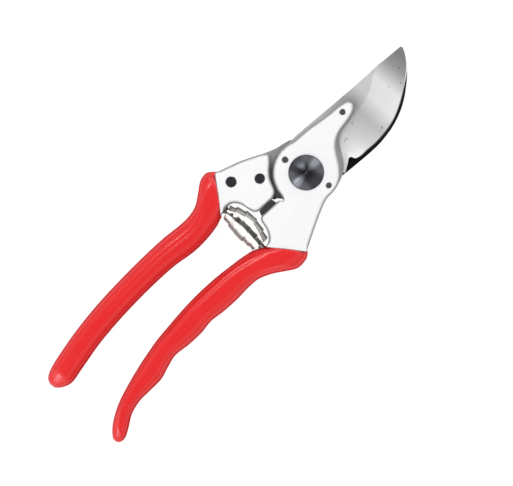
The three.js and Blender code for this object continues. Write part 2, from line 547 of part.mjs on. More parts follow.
// ---------------------------------------------------------------- volute spring
// A flat strip wound as a barrel along a slightly bent axis: its turns grow from both ends to the middle
// and slide inside each other.
function voluteSpring() {
  const [from, to] = [vec2(SPRING_FROM), vec2(SPRING_TO)];
  const steps = SPRING_TURNS * STRIP_STEPS;
  const half = SPRING_TURNS / 2;
  const length = from.distanceTo(to);
  const travel = (length - STRIP_WIDTH) / 2;
  const midTravel = STRIP_WIDTH / 2 + 0.1;
  const place = (turn) => {
    const away = Math.min(Math.abs(turn), half - DEAD_TURNS);
    const out = away < 0.5 ? 2 * away * midTravel
      : midTravel + (away - 0.5) / (half - DEAD_TURNS - 0.5) * (travel - midTravel);
    return Math.sign(turn) * out;
  };
  const [a0, a1] = SPRING_TURN;
  const chord = Math.atan2(to.y - from.y, to.x - from.x);
  const bend = (a0 - a1) * DEG;
  const onAxis = (s) => {
    const share = 0.5 + s / length;
    const rise = length * Math.tan(bend / 4) / 2 * (1 - (2 * share - 1) ** 2);
    return from.clone().lerp(to, share).add(new THREE.Vector2(-Math.sin(chord), Math.cos(chord))
      .multiplyScalar(rise));
  };
  const rings = Array.from({ length: steps + 1 }, (_, i) => {
    const turn = -half + SPRING_TURNS * i / steps;
    const end = turn < 0 ? 0 : 1;
    const away = (Math.abs(turn) / half) ** SPRING_BULGE[end];
    const radius = SPRING_MID_R + (SPRING_END_R[end] - SPRING_MID_R) * away;
    const tilt = STRIP_TILT[end] * Math.max(-1, Math.min(1, 2 * turn));
    const angle = 2 * Math.PI * turn + Math.PI / 2;
    const point = (across, out) => {
      const s = place(turn) + across;
      const r = radius - tilt * across + out;
      const heading = chord + bend * (-s / length);
      const centre = onAxis(s);
      const side = r * Math.cos(angle);
      return new THREE.Vector3(
        centre.x - Math.sin(heading) * side, centre.y + Math.cos(heading) * side,
        MID_HEIGHT + r * Math.sin(angle));
    };
    const [wide, thick] = [STRIP_WIDTH / 2, STRIP_THICK / 2];
    return [point(-wide, -thick), point(wide, -thick), point(wide, thick), point(-wide, thick)];
  });
  return solid(loft(rings));
}

// ---------------------------------------------------------------- assembly
add('left_casting', leftCasting(), ALUMINIUM);
add('left_grip', solid(gripSkin(LEFT_HANDLE, 1)), VINYL);
add('hook', hook(), HOOK_STEEL);
HOOK_RIVETS.forEach(([x, y, radius], i) => {
  add(`hook_rivet_${i + 1}`, disc([x, y], radius, HOOK_BACK, FRONT), DARK_STEEL);
});
add('pivot_bolt', pivotBolt(), DARK_STEEL);
add('pivot_washer', ring([0, 0], BOLT_R + 0.1, WASHER_R, WASHER_LOW, HOOK_BACK - HOLE_GAP), NICKEL);
add('pivot_nut', pivotNut(), DARK_STEEL);
add('nut_lock_segment', lockSegment(), NICKEL);
add('segment_screw', slottedScrew(segmentScrewAt(), SEGMENT_HEAD_R, SEGMENT_HEAD_LOW,
  SEGMENT_LOW - HOLE_GAP, SEGMENT_SCREW_R, SEGMENT_SCREW_END), DARK_STEEL);
add('catch_washer', ring(CATCH_AT, CATCH_SCREW_R + 0.1, CATCH_HEAD_R,
  CATCH_FRONT + HOLE_GAP, HOOK_BACK - HOLE_GAP), NICKEL);
add('catch_screw', slottedScrew(CATCH_AT, CATCH_HEAD_R, CATCH_HEAD_LOW, CATCH_BACK - HOLE_GAP,
  CATCH_SCREW_R, CATCH_SCREW_END), DARK_STEEL);
add('volute_spring', voluteSpring(), NICKEL);
add('thumb_catch', thumbCatch(), DARK_STEEL);
add('right_casting', rightCasting(), ALUMINIUM);
add('right_grip', rightGrip(), VINYL);
add('blade', blade(), BLADE_STEEL);
BLADE_PINS.forEach(([x, y, radius], i) => {
  add(`blade_pin_${i + 1}`, disc([x, y], radius, SLIDE_GAP + HOLE_GAP, FRONT, 24), DARK_STEEL);
});
add('bumper', bumper(), RUBBER);
add('catch_pin', disc(CATCH_PIN_AT, CATCH_PIN_R, CATCH_BACK - 0.1, CATCH_PIN_END), DARK_STEEL);

export default pruner;
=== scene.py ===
import json
import math

import bmesh
import bpy
import numpy as np
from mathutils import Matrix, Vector


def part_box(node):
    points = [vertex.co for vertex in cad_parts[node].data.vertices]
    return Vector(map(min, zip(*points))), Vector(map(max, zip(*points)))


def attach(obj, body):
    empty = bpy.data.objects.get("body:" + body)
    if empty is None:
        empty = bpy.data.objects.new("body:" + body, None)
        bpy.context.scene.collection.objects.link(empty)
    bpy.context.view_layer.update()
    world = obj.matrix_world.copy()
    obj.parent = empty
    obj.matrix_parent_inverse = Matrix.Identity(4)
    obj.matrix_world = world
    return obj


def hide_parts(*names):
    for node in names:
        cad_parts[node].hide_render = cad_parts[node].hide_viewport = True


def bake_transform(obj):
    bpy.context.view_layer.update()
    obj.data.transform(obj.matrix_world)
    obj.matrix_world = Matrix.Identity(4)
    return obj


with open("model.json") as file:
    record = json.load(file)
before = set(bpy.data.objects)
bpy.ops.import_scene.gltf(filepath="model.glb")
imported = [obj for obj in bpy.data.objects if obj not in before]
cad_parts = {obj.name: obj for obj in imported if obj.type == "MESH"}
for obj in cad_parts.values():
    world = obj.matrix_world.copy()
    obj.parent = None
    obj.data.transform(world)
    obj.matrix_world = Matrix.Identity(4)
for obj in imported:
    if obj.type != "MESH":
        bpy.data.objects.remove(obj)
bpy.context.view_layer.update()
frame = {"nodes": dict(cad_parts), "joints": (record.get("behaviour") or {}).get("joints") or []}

# Bypass pruner, closed, lying flat. The frame is in metres; the shapes here are worked out in
# millimetres and scaled once, in new_piece. +Y runs to the blade tip, +X to the hook's side.
MM = 0.001
SHEAR = frame["joints"][0]["pos_m"][2] / MM      # height of the plane where the blade slides
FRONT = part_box("hook_rivet_1")[1].z / MM         # front face of both castings
GRIP_MID = 0.3 + SHEAR                           # height of the grips' middle
SEAT_MID = SHEAR + 0.7                           # height of the spring's axis
TOOL_ANGLE = math.radians(49.5)                  # direction of the tool in the picture, from its right
VIEW_X, VIEW_Y = 0.0035, -0.0377                 # the picture's centre, in metres


# ---------------------------------------------------------------- camera, light and floor
def make_camera():
    """A long lens looking straight down, turned so that the tool lies across the picture."""
    seen_width, seen_height = 0.2262, 0.012      # width of the picture, and the height where it holds
    data = bpy.data.cameras.new("camera")
    data.lens = 150
    data.sensor_width = 36
    camera = bpy.data.objects.new("camera", data)
    bpy.context.scene.collection.objects.link(camera)
    camera.location = (VIEW_X, VIEW_Y, seen_height + seen_width * data.lens / data.sensor_width)
    camera.rotation_euler = (0, 0, math.pi / 2 - TOOL_ANGLE)
    bpy.context.scene.camera = camera


def area_light(name, offset, size, watts):
    """A rectangular lamp, turned to the middle of the tool from an offset in metres."""
    target = Vector((VIEW_X, VIEW_Y, 0.01))
    place = target + Vector(offset)
    data = bpy.data.lights.new(name, "AREA")
    data.shape = "RECTANGLE"
    data.size, data.size_y = size
    data.energy = watts
    light = bpy.data.objects.new(name, data)
    bpy.context.scene.collection.objects.link(light)
    light.location = place
    light.rotation_euler = (target - place).to_track_quat("-Z", "Y").to_euler()


def make_world():
    """Two bright boxes, past the blade's tip and past the handles' ends, and a dark stripe between."""
    stripe_start, stripe_end, strength = -0.95, 1.05, 3.42
    world = bpy.data.worlds.new("studio")
    bpy.context.scene.world = world
    world.use_nodes = True
    nodes, links = world.node_tree.nodes, world.node_tree.links
    background = nodes["Background"]
    place = nodes.new("ShaderNodeTexCoord")
    split = nodes.new("ShaderNodeSeparateXYZ")
    links.new(place.outputs["Generated"], split.inputs[0])
    # darker toward the horizon
    height = ramp(nodes, links, split.outputs["Z"], [(0.0, 0.12), (0.15, 0.3), (0.38, 0.9), (0.6, 1.0)])
    # the stripe runs along X, and its middle is a little toward +Y
    shifted = nodes.new("ShaderNodeMapRange")
    shifted.inputs["From Min"].default_value = stripe_start
    shifted.inputs["From Max"].default_value = stripe_end
    links.new(split.outputs["Y"], shifted.inputs["Value"])
    stripe = ramp(nodes, links, shifted.outputs[0],
                  [(0.19, 1.0), (0.23, 0.85), (0.28, 0.05), (0.5, 0.025), (0.69, 0.05), (0.74, 0.85),
                   (0.78, 1.0)])
    # each box is narrow in X, with a faint glow far to its sides
    across = nodes.new("ShaderNodeMath")
    across.operation = "ABSOLUTE"
    links.new(split.outputs["X"], across.inputs[0])
    width = ramp(nodes, links, across.outputs[0], [(0.11, 1.0), (0.30, 0.33)])
    sides = ramp(nodes, links, across.outputs[0], [(0.3, 0.0), (0.65, 0.15)])
    boxes = mixed(nodes, links, "ADD", mixed(nodes, links, "MULTIPLY", stripe, width), sides)
    links.new(mixed(nodes, links, "MULTIPLY", boxes, height), background.inputs["Color"])
    background.inputs["Strength"].default_value = strength


def make_floor():
    """A plain floor just under the tool. It glows a little, so that it comes out white."""
    side, low, shade, glow = 3.0, -0.0002, 0.1, 0.95
    mesh = bpy.data.meshes.new("floor")
    mesh.from_pydata([(-side, -side, low), (side, -side, low), (side, side, low), (-side, side, low)],
                     [], [(0, 1, 2, 3)])
    floor = bpy.data.objects.new("floor", mesh)
    bpy.context.scene.collection.objects.link(floor)
    material, nodes, links, shader = new_material("floor")
    shader.inputs["Base Color"].default_value = (shade, shade, shade, 1)
    shader.inputs["Roughness"].default_value = 0.9
    shader.inputs["Specular IOR Level"].default_value = 0.0
    shader.inputs["Emission Color"].default_value = (1, 1, 1, 1)
    shader.inputs["Emission Strength"].default_value = glow
    mesh.materials.append(material)


# ---------------------------------------------------------------- materials
def new_material(name):
    material = bpy.data.materials.new(name)
    material.use_nodes = True
    nodes, links = material.node_tree.nodes, material.node_tree.links
    return material, nodes, links, nodes["Principled BSDF"]


def object_noise(nodes, links, scale, detail=3.0, stretch=(1, 1, 1), turn=0.0):
    """Noise in the piece's own space. scale is in features per metre; stretch above 1 packs them."""
    place = nodes.new("ShaderNodeTexCoord")
    mapping = nodes.new("ShaderNodeMapping")
    noise = nodes.new("ShaderNodeTexNoise")
    mapping.inputs["Scale"].default_value = stretch
    mapping.inputs["Rotation"].default_value = (0, 0, turn)
    noise.inputs["Scale"].default_value = scale
    noise.inputs["Detail"].default_value = detail
    links.new(place.outputs["Object"], mapping.inputs[0])
    links.new(mapping.outputs[0], noise.inputs["Vector"])
    return noise.outputs["Fac"]


def ramp(nodes, links, value, stops):
    """A color ramp of (position, grey or rgb) stops."""
    node = nodes.new("ShaderNodeValToRGB")
    while len(node.color_ramp.elements) < len(stops):
        node.color_ramp.elements.new(0.5)
    for element, (at, color) in zip(node.color_ramp.elements, stops):
        rgb = (color,) * 3 if isinstance(color, (int, float)) else color
        element.position = at
        element.color = (*rgb, 1)
    links.new(value, node.inputs[0])
    return node.outputs[0]


def bump(nodes, links, shader, height, strength, distance):
    """Bumps from a height value. distance is in metres."""
    node = nodes.new("ShaderNodeBump")
    node.inputs["Strength"].default_value = strength
    node.inputs["Distance"].default_value = distance
    links.new(height, node.inputs["Height"])
    links.new(node.outputs[0], shader.inputs["Normal"])


def normal_part(nodes, links, axis):
    """One axis of the surface normal, in the piece's own space."""
    place = nodes.new("ShaderNodeTexCoord")
    split = nodes.new("ShaderNodeSeparateXYZ")
    links.new(place.outputs["Normal"], split.inputs[0])
    return split.outputs[axis]


def facing(nodes, links):
    """How far the surface faces up or down in the piece's own space: 1 on flat faces, 0 on walls."""
    size = nodes.new("ShaderNodeMath")
    size.operation = "ABSOLUTE"
    links.new(normal_part(nodes, links, "Z"), size.inputs[0])
    return size.outputs[0]


def mixed(nodes, links, kind, a, b, factor=1.0):
    """Two colors joined with a mix node of the given blend type."""
    node = nodes.new("ShaderNodeMix")
    node.data_type = "RGBA"
    node.blend_type = kind
    links.new(a, node.inputs["A"])
    links.new(b, node.inputs["B"])
    if isinstance(factor, float):
        node.inputs["Factor"].default_value = factor
    else:
        links.new(factor, node.inputs["Factor"])
    return node.outputs["Result"]


def aluminium():
    """Satin faces, near white, with a fine grain; painted shade makes the cast walls and rounded edges
    greyer.
    """
    material, nodes, links, shader = new_material("satin_aluminium")
    cloud = object_noise(nodes, links, 90, 4)
    face = ramp(nodes, links, cloud, [(0.3, (0.915, 0.915, 0.93)), (0.7, (0.945, 0.945, 0.96))])
    # painted shade: the colour darkens as the surface turns from the flat faces to the walls
    painted_wall_shade = ramp(nodes, links, facing(nodes, links),
                 [(0.0, 0.32), (0.5, 0.25), (0.85, 0.38), (0.965, 0.76), (0.996, 1.0)])
    links.new(mixed(nodes, links, "MULTIPLY", face, painted_wall_shade), shader.inputs["Base Color"])
    grain = object_noise(nodes, links, 2600, 2)
    links.new(ramp(nodes, links, grain, [(0.3, 0.40), (0.7, 0.55)]), shader.inputs["Roughness"])
    shader.inputs["Metallic"].default_value = 0.07
    bump(nodes, links, shader, grain, 0.12, 0.00004)
    return material


def vinyl():
    """Dipped vinyl: saturated red, glossy on top, duller down the sides, where painted shade makes the
    red deeper.
    """
    material, nodes, links, shader = new_material("red_vinyl")
    cloud = object_noise(nodes, links, 60, 3)
    face = ramp(nodes, links, cloud, [(0.3, (0.79, 0.024, 0.026)), (0.7, (0.82, 0.028, 0.030))])
    flat = facing(nodes, links)
    # painted shade: the red darkens down the sides
    painted_wall_shade = ramp(nodes, links, flat, [(0.0, 0.62), (0.25, 0.80), (0.6, 1.0)])
    links.new(mixed(nodes, links, "MULTIPLY", face, painted_wall_shade), shader.inputs["Base Color"])
    links.new(ramp(nodes, links, flat, [(0.35, 0.0), (0.8, 0.5)]), shader.inputs["Specular IOR Level"])
    fine = object_noise(nodes, links, 900, 2)
    links.new(ramp(nodes, links, fine, [(0.3, 0.17), (0.7, 0.20)]), shader.inputs["Roughness"])
    wave = object_noise(nodes, links, 160, 2)
    bump(nodes, links, shader, wave, 0.02, 0.0002)
    return material


def along(nodes, links, axis, start, end):
    """0 to 1 along one axis of the piece's own space, between two places in millimetres."""
    place = nodes.new("ShaderNodeTexCoord")
    split = nodes.new("ShaderNodeSeparateXYZ")
    span = nodes.new("ShaderNodeMapRange")
    span.inputs["From Min"].default_value = start * MM
    span.inputs["From Max"].default_value = end * MM
    links.new(place.outputs["Object"], split.inputs[0])
    links.new(split.outputs[axis], span.inputs["Value"])
    return span.outputs[0]


def blade_steel():
    """Ground steel: fine lines across the blade and tiny specks, with painted light and shade: painted
    shade darkens the tip and the flat side.

    Places are in millimetres: Y runs to the blade's tip and X to its cutting edge.
    """
    material, nodes, links, shader = new_material("ground_steel")
    lines = object_noise(nodes, links, 700, 3, stretch=(0.12, 3.0, 1), turn=math.radians(4))
    links.new(ramp(nodes, links, lines, [(0.3, 0.34), (0.7, 0.44)]), shader.inputs["Roughness"])
    specks = object_noise(nodes, links, 430, 1)
    steel = ramp(nodes, links, specks, [(0.23, 0.40), (0.27, 0.95), (1.0, 0.98)])
    # painted light and shade: bright and dark stretches from heel to tip, and slightly darker at the back
    length = ramp(nodes, links, along(nodes, links, "Y", 10, 72),
                  [(0.0, 0.86), (0.2, 0.93), (0.42, 0.64), (0.55, 1.0), (0.68, 1.0), (0.82, 0.42),
                   (0.92, 0.26), (1.0, 0.25)])
    across = ramp(nodes, links, along(nodes, links, "X", -3, 15), [(0.0, 0.86), (1.0, 1.0)])
    # the flat ends where the ground face starts: how far across, at each place along the blade
    start = ramp(nodes, links, along(nodes, links, "Y", 20, 60),
                 [(0.0, 0.60), (0.125, 0.50), (0.3, 0.46), (0.52, 0.44), (0.65, 0.37), (0.765, 0.25),
                  (0.875, 0.15), (1.0, 0.0)])
    beyond = nodes.new("ShaderNodeMath")
    beyond.operation = "SUBTRACT"
    links.new(along(nodes, links, "X", -10, 10), beyond.inputs[0])
    links.new(start, beyond.inputs[1])
    # painted shade: the flat side is a little darker than the ground face, on the upper side only
    flat = ramp(nodes, links, beyond.outputs[0], [(0.0, 0.82), (0.03, 1.0)])
    top = ramp(nodes, links, normal_part(nodes, links, "Z"), [(0.0, 0.0), (0.1, 1.0)])
    both = mixed(nodes, links, "MULTIPLY", length, across)
    shade = mixed(nodes, links, "MULTIPLY", both, flat, top)
    # painted light on the narrow steep face along the edge: painted shade makes it dark, and a painted
    # highlight makes it bright near the tip
    steep = ramp(nodes, links, facing(nodes, links), [(0.80, 1.0), (0.93, 0.0)])
    painted_edge_shade_and_tip_highlight = ramp(nodes, links, along(nodes, links, "Y", 55, 61), [(0.0, 0.15), (1.0, 1.0)])
    ground = mixed(nodes, links, "MULTIPLY", steel, shade)
    links.new(mixed(nodes, links, "MIX", ground, painted_edge_shade_and_tip_highlight, steep), shader.inputs["Base Color"])
    shader.inputs["Metallic"].default_value = 0.27
    bump(nodes, links, shader, lines, 0.08, 0.00003)
    return material


def hook_steel():
    """Oxidised steel: near black on the cutting side, partly from the oxide and partly painted shade
    under the blade; grey where the handle covers it.

    The grey is painted lighter toward the handles, from Y 2 down to Y -12: painted light in the shaded
    pocket between the castings.
    """
    material, nodes, links, shader = new_material("hook_steel")
    cloud = object_noise(nodes, links, 400, 4)
    black = ramp(nodes, links, cloud, [(0.3, 0.006), (0.7, 0.014)])
    bare = ramp(nodes, links, cloud, [(0.3, 0.50), (0.7, 0.64)])
    # painted light: lifts the grey toward the handles, where the pocket between the castings is in shade
    painted_pocket_light = ramp(nodes, links, along(nodes, links, "Y", -12, 2), [(0.0, 1.0), (1.0, 0.56)])
    grey = mixed(nodes, links, "MULTIPLY", bare, painted_pocket_light)
    # painted shade, with the oxide: near black toward the cutting side, under the blade
    side = ramp(nodes, links, along(nodes, links, "X", 0, 10), [(0.2, 0.0), (0.8, 1.0)])
    links.new(mixed(nodes, links, "MIX", grey, black, side), shader.inputs["Base Color"])
    grain = object_noise(nodes, links, 2200, 2)
    links.new(ramp(nodes, links, grain, [(0.3, 0.42), (0.7, 0.58)]), shader.inputs["Roughness"])
    shader.inputs["Metallic"].default_value = 0.6
    shader.inputs["Specular IOR Level"].default_value = 0.15
    bump(nodes, links, shader, grain, 0.15, 0.00004)
    return material


def dark_steel(name, low, high):
    """Blued small parts, between two colors."""
    material, nodes, links, shader = new_material(name)
    cloud = object_noise(nodes, links, 700, 3)
    links.new(ramp(nodes, links, cloud, [(0.3, low), (0.7, high)]), shader.inputs["Base Color"])
    grain = object_noise(nodes, links, 2500, 2)
    links.new(ramp(nodes, links, grain, [(0.3, 0.34), (0.7, 0.5)]), shader.inputs["Roughness"])
    shader.inputs["Metallic"].default_value = 0.8
    bump(nodes, links, shader, grain, 0.1, 0.00003)
    return material


def turned_steel():
    """Blued steel with the round turning marks of a lathe, for the bolt's dome."""
    material, nodes, links, shader = new_material("turned_steel")
    place = nodes.new("ShaderNodeTexCoord")
    rings = nodes.new("ShaderNodeTexWave")
    rings.wave_type = "RINGS"
    rings.rings_direction = "Z"
    rings.inputs["Scale"].default_value = 700
    rings.inputs["Distortion"].default_value = 0.4
    links.new(place.outputs["Object"], rings.inputs["Vector"])
    links.new(ramp(nodes, links, rings.outputs["Fac"],
                   [(0.0, (0.090, 0.094, 0.107)), (1.0, (0.128, 0.132, 0.145))]),
              shader.inputs["Base Color"])
    tangent = nodes.new("ShaderNodeTangent")
    tangent.direction_type = "RADIAL"
    tangent.axis = "Z"
    links.new(tangent.outputs[0], shader.inputs["Tangent"])
    shader.inputs["Metallic"].default_value = 1.0
    shader.inputs["Roughness"].default_value = 0.24
    shader.inputs["Anisotropic"].default_value = 0.85
    shader.inputs["Anisotropic Rotation"].default_value = 0.25
    bump(nodes, links, shader, rings.outputs["Fac"], 0.04, 0.00003)
    return material


def nickel():
    """Bright nickel plate with faint streaks; painted shade darkens it where it turns down, more so
    toward -Y.
    """
    material, nodes, links, shader = new_material("bright_nickel")
    cloud = object_noise(nodes, links, 500, 3, stretch=(1, 0.3, 0.3))
    plate = ramp(nodes, links, cloud, [(0.3, (0.72, 0.70, 0.66)), (0.7, (0.84, 0.82, 0.78))])
    flat = facing(nodes, links)
    # painted shade: darker on the faces that turn down, more on the -Y side (lower) than on the +Y side
    # (upper)
    lower = ramp(nodes, links, flat, [(0.0, 0.18), (0.62, 0.26), (0.76, 1.0)])
    upper = ramp(nodes, links, flat, [(0.0, 0.12), (0.30, 0.42), (0.45, 0.85), (0.7, 1.0)])
    side = ramp(nodes, links, normal_part(nodes, links, "Y"), [(0.0, 0.0), (0.1, 1.0)])
    painted_wall_shade = mixed(nodes, links, "MIX", lower, upper, side)
    links.new(mixed(nodes, links, "MULTIPLY", plate, painted_wall_shade), shader.inputs["Base Color"])
    links.new(ramp(nodes, links, cloud, [(0.3, 0.12), (0.7, 0.2)]), shader.inputs["Roughness"])
    links.new(ramp(nodes, links, flat, [(0.74, 0.08), (0.86, 1.0)]), shader.inputs["Metallic"])
    return material


def rubber():
    """Matt black rubber."""
    material, nodes, links, shader = new_material("black_rubber")
    cloud = object_noise(nodes, links, 900, 3)
    links.new(ramp(nodes, links, cloud, [(0.3, 0.014), (0.7, 0.03)]), shader.inputs["Base Color"])
    links.new(ramp(nodes, links, cloud, [(0.3, 0.55), (0.7, 0.75)]), shader.inputs["Roughness"])
    bump(nodes, links, shader, cloud, 0.1, 0.00005)
    return material


# ---------------------------------------------------------------- mesh helpers
def new_piece(name, points_mm, faces, material, smooth_angle):
    """A new object from points in millimetres, smooth except where it turns more than the angle."""
    mesh = bpy.data.meshes.new(name)
    mesh.from_pydata([tuple(MM * c for c in p) for p in points_mm], [], faces)
    mesh.materials.append(material)
    piece = bpy.data.objects.new(name, mesh)
    bpy.context.scene.collection.objects.link(piece)
    smooth(piece, smooth_angle)
    return piece


def smooth(piece, angle):
    piece.data.shade_smooth()
    piece.data.set_sharp_from_angle(angle=math.radians(angle))


def apply_modifiers(piece):
    """Makes the modified shape the piece's own mesh."""
    graph = bpy.context.evaluated_depsgraph_get()
    graph.update()
    mesh = bpy.data.meshes.new_from_object(piece.evaluated_get(graph))
    piece.modifiers.clear()
    piece.data = mesh


def copy_of(node, name, material, flat=0.5):
    """A new piece with the CAD node's shape: one merged mesh, with faces within flat degrees joined."""
    same_place = 2e-6                            # metres
    mesh = frame["nodes"][node].data.copy()
    mesh.name = name
    if "custom_normal" in mesh.attributes:
        mesh.attributes.remove(mesh.attributes["custom_normal"])
    work = bmesh.new()
    work.from_mesh(mesh)
    bmesh.ops.remove_doubles(work, verts=work.verts, dist=same_place)
    bmesh.ops.dissolve_limit(work, angle_limit=math.radians(flat), verts=work.verts, edges=work.edges)
    work.to_mesh(mesh)
    work.free()
    mesh.materials.clear()
    mesh.materials.append(material)
    piece = bpy.data.objects.new(name, mesh)
    bpy.context.scene.collection.objects.link(piece)
    return piece


def bevelled(node, name, material, width_mm, segments):
    """The CAD node's shape with its sharp edges rounded."""
    angle = 35                                   # degrees: an edge that turns more than this is sharp
    piece = copy_of(node, name, material)
    bevel = piece.modifiers.new("round", "BEVEL")
    bevel.width = width_mm * MM
    bevel.segments = segments
    bevel.limit_method = "ANGLE"
    bevel.angle_limit = math.radians(angle)
    bevel.use_clamp_overlap = True
    bevel.harden_normals = False
    apply_modifiers(piece)
    smooth(piece, angle)
    return piece


def cast(node, name, material, keep):
    """The CAD node's shape as a casting: its edges softly rounded, except near the kept places.

    keep lists (x, y, x, y, radius) in millimetres: what lies within the radius of the line from one
    point to the other stays crisp.
    """
    voxel, rounds, pull = 0.4, 34, 0.5
    crisp_margin, crisp_fade = 0.2, 1.0
    piece = copy_of(node, name, material)
    remesh = piece.modifiers.new("even", "REMESH")
    remesh.mode = "VOXEL"
    remesh.voxel_size = voxel * MM
    apply_modifiers(piece)
    mesh = piece.data
    count = len(mesh.vertices)
    place = np.empty(count * 3)
    mesh.vertices.foreach_get("co", place)
    place = place.reshape(-1, 3) / MM
    edges = np.empty(len(mesh.edges) * 2, int)
    mesh.edges.foreach_get("vertices", edges)
    a, b = edges.reshape(-1, 2).T
    degree = np.maximum(np.bincount(edges, minlength=count), 1)
    weight = np.ones(count)
    for x0, y0, x1, y1, radius in keep:
        start, span = np.array([x0, y0]), np.array([x1 - x0, y1 - y0])
        size = max(span @ span, 1e-9)
        share = np.clip((place[:, :2] - start) @ span / size, 0, 1)
        away = np.linalg.norm(place[:, :2] - start - share[:, None] * span, axis=1)
        weight = np.minimum(weight, np.clip((away - radius - crisp_margin) / crisp_fade, 0, 1))
    for _ in range(rounds):
        near = np.column_stack([np.bincount(a, place[b, k], count) + np.bincount(b, place[a, k], count)
                                for k in range(3)]) / degree[:, None]
        place += pull * weight[:, None] * (near - place)
    mesh.vertices.foreach_set("co", (place * MM).ravel())
    mesh.update()
    mesh.shade_smooth()
    return piece


def round_place(node):
    """The (x, y, x, y, radius) of a round CAD node standing along Z."""
    low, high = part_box(node)
    x, y = (low.x + high.x) / 2 / MM, (low.y + high.y) / 2 / MM
    return x, y, x, y, (high.x - low.x) / 2 / MM


def placed(piece, node, body):
    """Puts the piece in the CAD node's stead, on its body."""
    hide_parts(node)
    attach(piece, body)


def catmull_rom(rows, t):
    """The point at each share t of a smooth curve through the rows."""
    rows = np.asarray(rows, float)
    last = len(rows) - 1
    at = np.clip(np.asarray(t) * last, 0, last - 1e-9)
    i = at.astype(int)
    w = (at - i)[:, None]
    p0, p1 = rows[np.maximum(i - 1, 0)], rows[i]
    p2, p3 = rows[np.minimum(i + 1, last)], rows[np.minimum(i + 2, last)]
    v0, v1 = (p2 - p0) / 2, (p3 - p1) / 2
    return ((2 * p1 - 2 * p2 + v0 + v1) * w**3 + (-3 * p1 + 3 * p2 - 2 * v0 - v1) * w**2
            + v0 * w + p1)


def ring_faces(rings, sides):
    """Quads between rings of points, and one face across each end."""
    faces = []
    for r in range(rings - 1):
        for k in range(sides):
            a, b = r * sides + k, r * sides + (k + 1) % sides
            faces.append((a, b, b + sides, a + sides))
    faces.append(tuple(reversed(range(sides))))
    faces.append(tuple((rings - 1) * sides + k for k in range(sides)))
    return faces


def outward(piece):
    """Turns all faces to the outside."""
    work = bmesh.new()
    work.from_mesh(piece.data)
    bmesh.ops.recalc_face_normals(work, faces=work.faces)
    work.to_mesh(piece.data)
    work.free()


def turned(name, profile, at, material, sides, angle):
    """A round piece: (radius, height) pairs from the axis back to the axis, in millimetres."""
    points, faces = [], []
    rings = profile[1:-1]
    for radius, height in rings:
        for k in range(sides):
            turn = 2 * math.pi * k / sides
            points.append((radius * math.cos(turn), radius * math.sin(turn), height))
    for r in range(len(rings) - 1):
        for k in range(sides):
            a, b = r * sides + k, r * sides + (k + 1) % sides
            faces.append((a, b, b + sides, a + sides))
    for (_, height), ring in ((profile[0], 0), (profile[-1], len(rings) - 1)):
        points.append((0, 0, height))
        for k in range(sides):
            a, b = ring * sides + k, ring * sides + (k + 1) % sides
            faces.append((a, b, len(points) - 1))
    piece = new_piece(name, points, faces, material, angle)
    outward(piece)
    piece.location = (at[0] * MM, at[1] * MM, 0)
    return piece


# ---------------------------------------------------------------- grips
# Each row is a cross-section: far edge x, y, near edge x, y, half height.
LEFT_HANDLE = [
    (-31.3, -26.2, -15.6, -39.9, 8.0), (-33.5, -28.6, -14.9, -42.2, 8.3),
    (-33.2, -33.0, -14.5, -45.0, 8.3), (-30.2, -38.2, -14.3, -48.8, 8.3),
    (-27.6, -43.2, -14.4, -52.8, 8.3), (-26.9, -49.0, -14.8, -57.2, 8.3),
    (-27.6, -54.8, -15.7, -61.8, 8.3), (-29.2, -63.2, -17.4, -68.6, 8.3),
    (-30.6, -75.0, -18.8, -78.4, 8.3), (-31.7, -89.0, -19.9, -90.6, 8.3),
    (-32.3, -104.0, -20.5, -104.5, 8.3), (-32.0, -117.5, -20.3, -117.5, 8.2),
    (-30.9, -130.0, -19.1, -130.0, 7.9), (-29.6, -138.6, -18.5, -137.6, 7.2),
    (-27.9, -142.8, -20.4, -142.0, 5.2), (-25.6, -144.3, -22.6, -144.1, 2.2),
]
RIGHT_HANDLE = [
    (23.6, -26.3, 7.2, -37.3, 8.0), (24.9, -29.0, 5.6, -39.3, 8.3),
    (24.6, -34.2, 4.2, -42.0, 8.3), (21.2, -39.0, 3.1, -45.6, 8.3),
    (17.6, -43.6, 2.1, -49.6, 8.3), (14.6, -49.2, 1.1, -54.4, 8.3),
    (13.6, -55.0, 0.2, -58.6, 8.3), (13.2, -62.0, -0.7, -64.2, 8.3),
    (12.2, -69.6, -1.5, -70.6, 8.3), (10.7, -77.0, -2.0, -77.4, 8.3),
    (10.8, -84.0, -2.2, -84.2, 8.3), (9.9, -91.5, -2.2, -91.6, 8.2),
    (8.5, -98.8, -2.1, -99.0, 8.0), (9.4, -105.0, -1.5, -105.4, 8.0),
    (10.6, -111.0, -0.8, -111.4, 8.0), (10.1, -118.0, 0.3, -118.2, 7.8),
    (9.6, -124.2, 1.5, -124.4, 7.4), (10.7, -131.0, 3.3, -131.4, 7.0),
    (13.6, -136.8, 5.9, -137.6, 6.6), (15.3, -141.0, 8.4, -141.6, 5.8),
    (14.9, -143.6, 11.0, -144.3, 3.6), (13.6, -144.7, 12.4, -144.8, 1.4),
]


